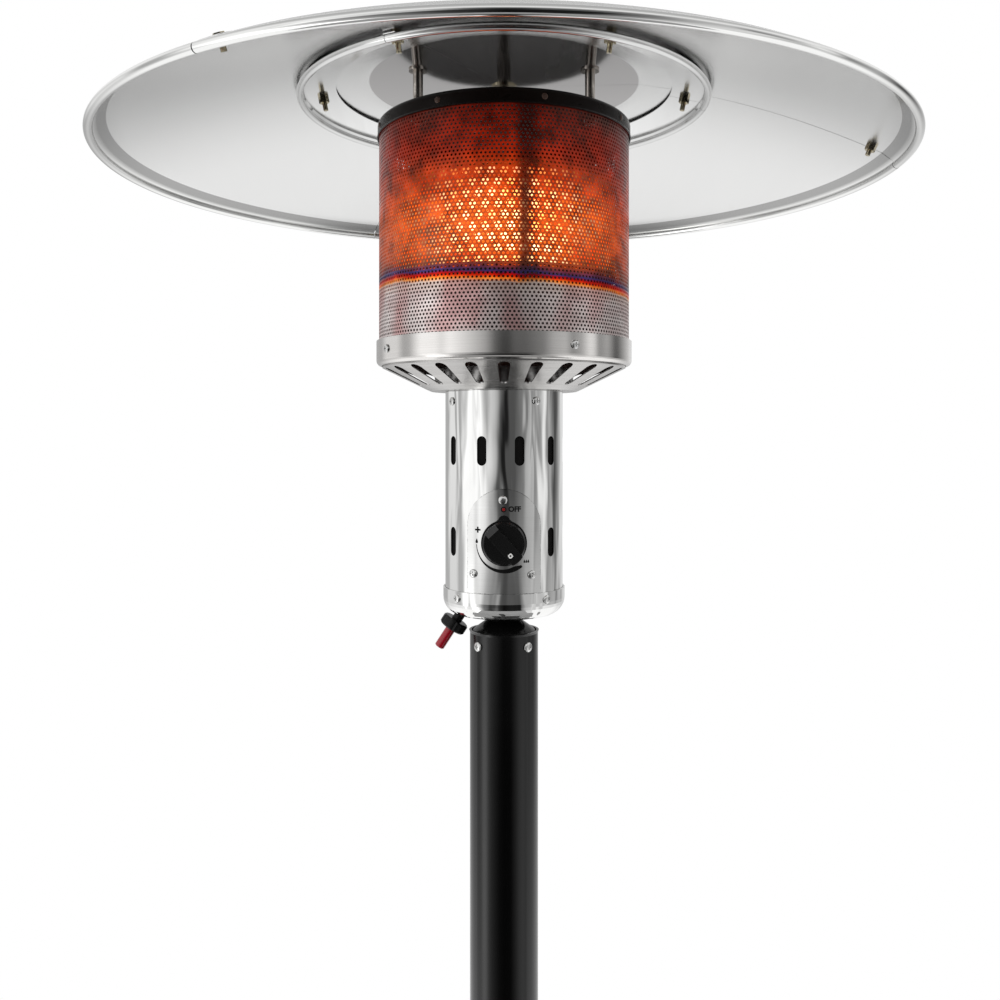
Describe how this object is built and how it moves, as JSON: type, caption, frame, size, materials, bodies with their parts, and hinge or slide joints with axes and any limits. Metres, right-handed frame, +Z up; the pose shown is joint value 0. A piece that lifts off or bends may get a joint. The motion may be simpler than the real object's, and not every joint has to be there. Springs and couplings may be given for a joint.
{
  "type": "patio heater",
  "caption": "Free-standing gas patio heater: domed reflector over a perforated emitter screen, control tube with knob, slim post and a lift-up bottle housing on a round base.",
  "frame": {"origin": "on the floor at the heater's vertical axis, the middle of the reflector's box", "axes": "+Z up along the post, -Y towards the dial and the user, +Y towards the wheels"},
  "size_m": [0.8128, 0.8128, 2.208],
  "materials": {
    "black_steel": "gloss black powder coat",
    "black_housing": "gloss black powder coat",
    "ballast_iron": "rough cast, painted",
    "zinc_fastener": "bright zinc",
    "yellow_zinc": "yellow zinc plate",
    "wheel_plastic": "moulded black",
    "black_plastic": "moulded black",
    "polished_steel": "mirror polished stainless",
    "satin_steel": "satin stainless",
    "reflector_steel": "bright rolled sheet",
    "burner_steel": "heat-marked stainless",
    "screen_steel": "perforated stainless, heat-tinted",
    "drum_glow": "red hot in use",
    "cap_black": "heat-proof black",
    "brass": "machined brass",
    "copper": "soft copper tube",
    "bracket_zinc": "plain zinc",
    "white_ceramic": "glazed",
    "lead_silicone": "silicone lead",
    "switch_plastic": "moulded",
    "igniter_plastic": "dark red moulding",
    "button_red": "red moulding"
  },
  "bodies": {
    "stand": {"base_plate": "black_steel", "base_ballast": "ballast_iron", "wheel_bracket": "black_steel", "axle": "zinc_fastener", "axle_caps": "zinc_fastener", "support_leg_1": "black_steel", "support_leg_2": "black_steel", "support_leg_3": "black_steel", "foot_bolts": "zinc_fastener", "socket_bolts": "zinc_fastener", "post_socket": "black_steel", "post": "black_steel", "gas_inlet": "brass", "supply_pipe": "copper", "post_bracket": "black_steel", "post_screws": "zinc_fastener", "control_cup": "polished_steel", "control_tube": "polished_steel", "head_screws": "zinc_fastener", "dial_plate": "satin_steel", "dial_screws": "zinc_fastener", "knob_bezel": "black_plastic", "valve_bracket": "bracket_zinc", "valve_body": "brass", "injector": "brass", "mixing_tube": "burner_steel", "pilot_tube": "copper", "pilot_burner": "burner_steel", "thermocouple": "copper", "spark_electrode": "white_ceramic", "ignition_lead": "lead_silicone", "tilt_switch": "switch_plastic", "igniter_body": "igniter_plastic", "igniter_nut": "black_plastic", "burner_pan": "satin_steel", "screen_collar": "satin_steel", "collar_screws": "zinc_fastener", "burner_drum": "drum_glow", "emitter_screen": "screen_steel", "screen_cap": "cap_black", "cap_rivets": "cap_black", "reflector_studs": "zinc_fastener", "stud_nuts": "zinc_fastener", "dome_panel_1": "reflector_steel", "dome_panel_2": "reflector_steel", "dome_panel_3": "reflector_steel", "ring_panel_1": "reflector_steel", "ring_panel_2": "reflector_steel", "ring_panel_3": "reflector_steel", "ring_spacers": "yellow_zinc", "ring_bolts": "yellow_zinc", "seam_bolts": "yellow_zinc"},
    "wheel_left": {"wheel_left": "wheel_plastic"},
    "wheel_right": {"wheel_right": "wheel_plastic"},
    "housing": {"tank_housing": "black_housing", "housing_collar": "black_plastic"},
    "push_rod": {"valve_pushrod": "zinc_fastener"},
    "knob": {"knob": "black_plastic", "valve_spindle": "zinc_fastener"},
    "igniter_button": {"igniter_button": "button_red"}
  },
  "joints": [
    {"name": "housing_lift", "type": "slide", "parent": "stand", "child": "housing", "axis": [0, 0, 1], "range_m": [0, 0.5]},
    {"name": "wheel_left_spin", "type": "hinge", "parent": "stand", "child": "wheel_left", "pos_m": [0, 0.26248, 0.041], "axis": [1, 0, 0], "continuous": true},
    {"name": "wheel_right_spin", "type": "hinge", "parent": "stand", "child": "wheel_right", "pos_m": [0, 0.26248, 0.041], "axis": [1, 0, 0], "continuous": true},
    {"name": "knob_push", "type": "slide", "parent": "stand", "child": "push_rod", "axis": [0, 1, 0], "range_m": [0, 0.003], "stiffness_N_per_m": 1200, "springref_m": -0.004},
    {"name": "knob_turn", "type": "hinge", "parent": "push_rod", "child": "knob", "pos_m": [0, -0.075, 1.727], "axis": [0, -1, 0], "range_deg": [-222, 0]},
    {"name": "igniter_push", "type": "slide", "parent": "stand", "child": "igniter_button", "axis": [0.5446, 0, 0.8387], "range_m": [0, 0.005], "stiffness_N_per_m": 800, "springref_m": -0.004}
  ]
}
